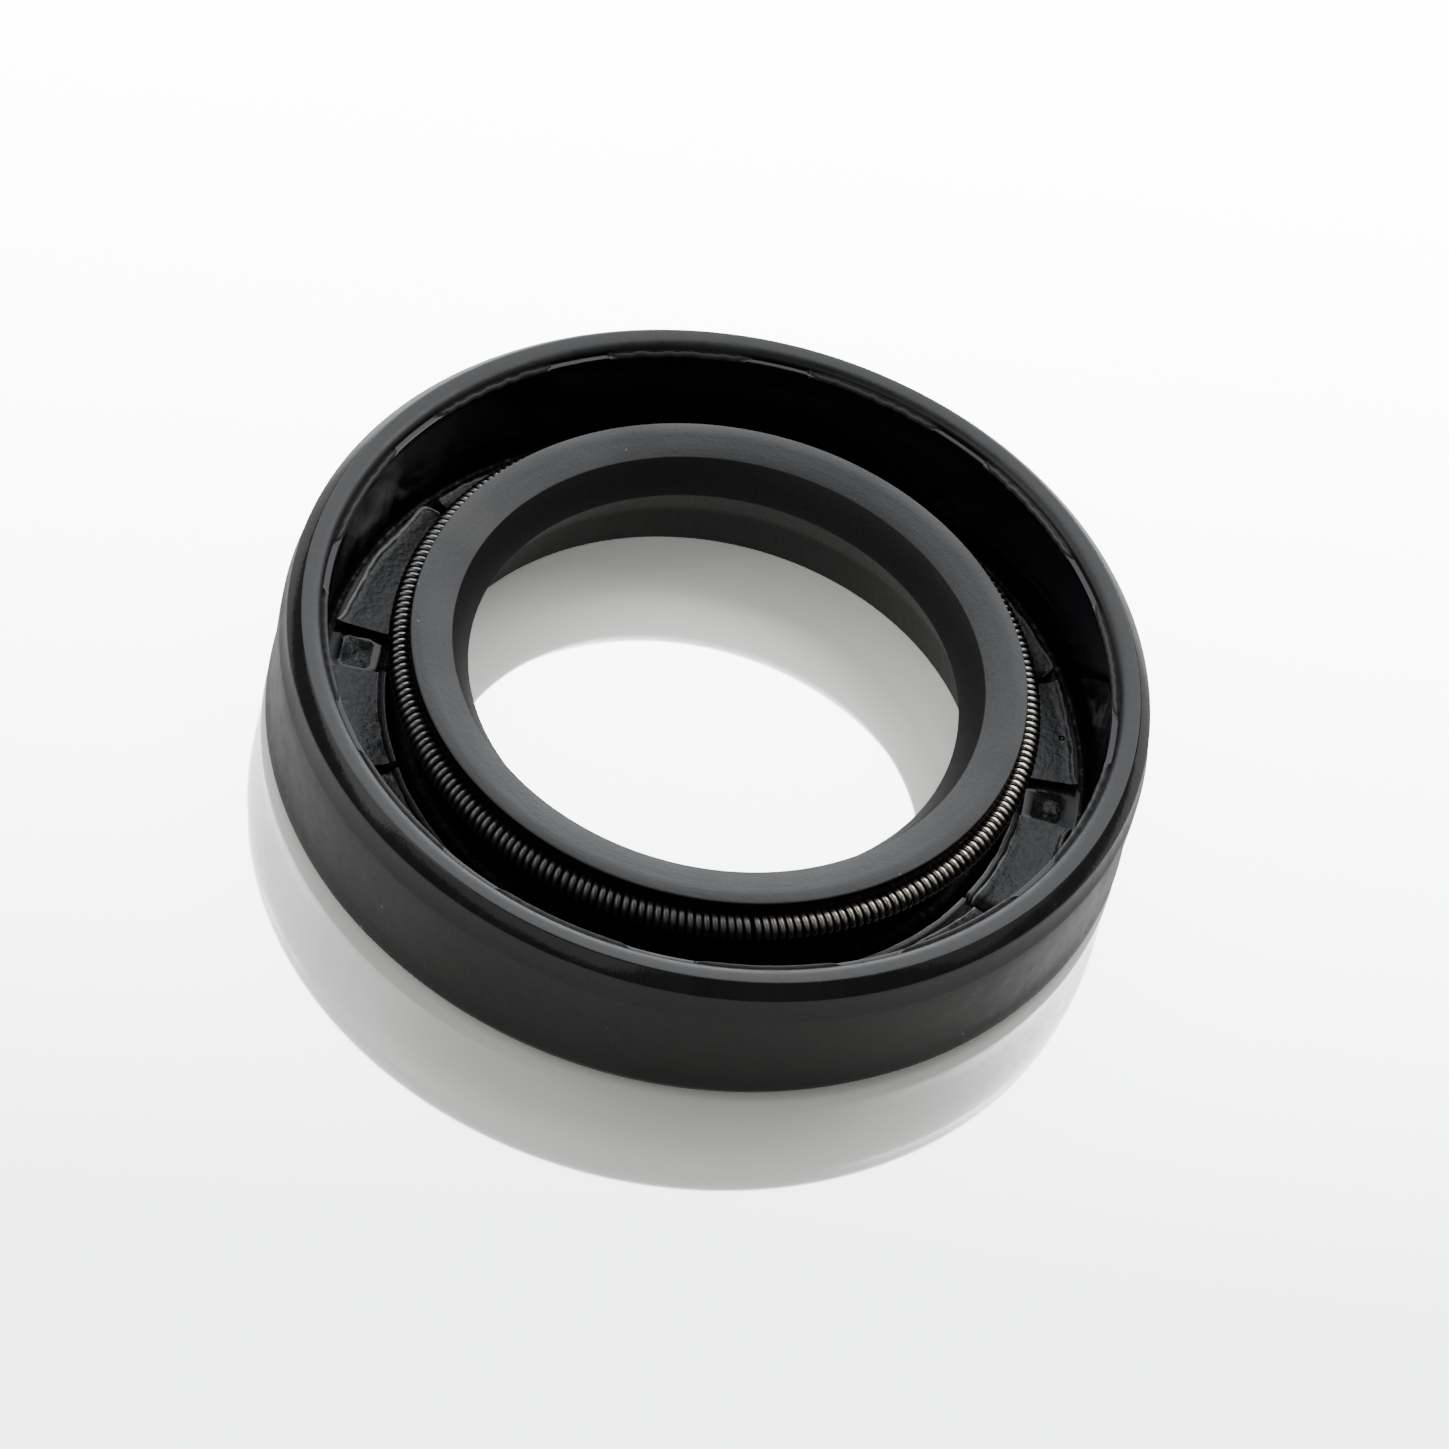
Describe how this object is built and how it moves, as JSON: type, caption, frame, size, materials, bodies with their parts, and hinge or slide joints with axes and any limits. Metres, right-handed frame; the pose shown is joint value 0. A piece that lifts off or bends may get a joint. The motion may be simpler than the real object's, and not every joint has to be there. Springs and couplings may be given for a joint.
{
  "type": "radial shaft seal",
  "caption": "Ring-shaped seal for a turning shaft: rubber moulded over a steel case, with a sprung lip round its open bore.",
  "frame": {"origin": "on the seal's axis, in the plane of its back face", "axes": "+Z along the axis towards the spring side, X and Y across; the part lies on its back face as in use on a bench"},
  "size_m": [0.0422, 0.0422, 0.008],
  "materials": {
    "nitrile_rubber": "moulded black nitrile rubber with a faint satin sheen",
    "coated_steel": "pressed steel sheet under a thin glossy black bonding coat",
    "spring_wire": "fine drawn spring wire, close-wound, lightly oiled"
  },
  "bodies": {
    "root": {"rubber_body": "nitrile_rubber", "metal_case": "coated_steel", "garter_spring": "spring_wire"}
  },
  "joints": []
}
